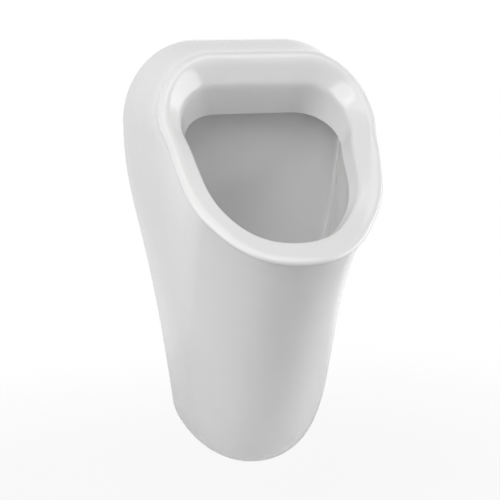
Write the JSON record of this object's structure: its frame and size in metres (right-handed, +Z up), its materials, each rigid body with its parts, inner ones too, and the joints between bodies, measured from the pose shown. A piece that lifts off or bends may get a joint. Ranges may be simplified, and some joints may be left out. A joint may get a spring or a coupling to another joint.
{
  "type": "wall hung urinal",
  "caption": "Wall hung ceramic urinal with a hood, a rolled rim and a deep bowl, on hidden brackets, with rear inlet, lift-out outlet insert and concealed trap.",
  "frame": {"origin": "midway between the two wall fixing holes, on the wall plane", "axes": "+Z up, +Y into the wall, +X to the right as seen from the front"},
  "size_m": [0.35, 0.3505, 0.6421],
  "materials": {
    "glaze": "gloss",
    "zinc_steel": "satin",
    "pad_plastic": "matte",
    "brass": "satin",
    "rubber": "matte",
    "chrome": "polished",
    "stainless": "satin",
    "white_plastic": "gloss",
    "grey_plastic": "satin"
  },
  "bodies": {
    "urinal": {"ceramic_body": "glaze", "hanger_bracket_left": "zinc_steel", "hanger_bracket_right": "zinc_steel", "bracket_pads": "pad_plastic", "inlet_spud": "brass", "inlet_washer": "rubber", "inlet_nut": "brass", "nozzle_seal": "rubber", "spreader_nozzle": "chrome", "drain_upper_seal": "rubber", "drain_flange": "stainless", "drain_lower_seal": "rubber", "drain_backnut": "white_plastic", "trap_body": "white_plastic", "trap_union_nut": "white_plastic", "trap_union_seal": "rubber", "trap_cup": "white_plastic", "trap_cup_seal": "rubber", "outlet_pipe": "grey_plastic", "outlet_seal": "rubber", "outlet_nut": "white_plastic"},
    "insert": {"dip_tube": "grey_plastic", "dip_tube_ring": "rubber"},
    "strainer": {"outlet_strainer": "chrome"}
  },
  "joints": [
    {"name": "insert_lift", "type": "slide", "parent": "urinal", "child": "insert", "axis": [0, 0, 1], "range_m": [0, 0.33]},
    {"name": "strainer_lift", "type": "slide", "parent": "insert", "child": "strainer", "axis": [0, 0, 1], "range_m": [0, 0.2]}
  ]
}
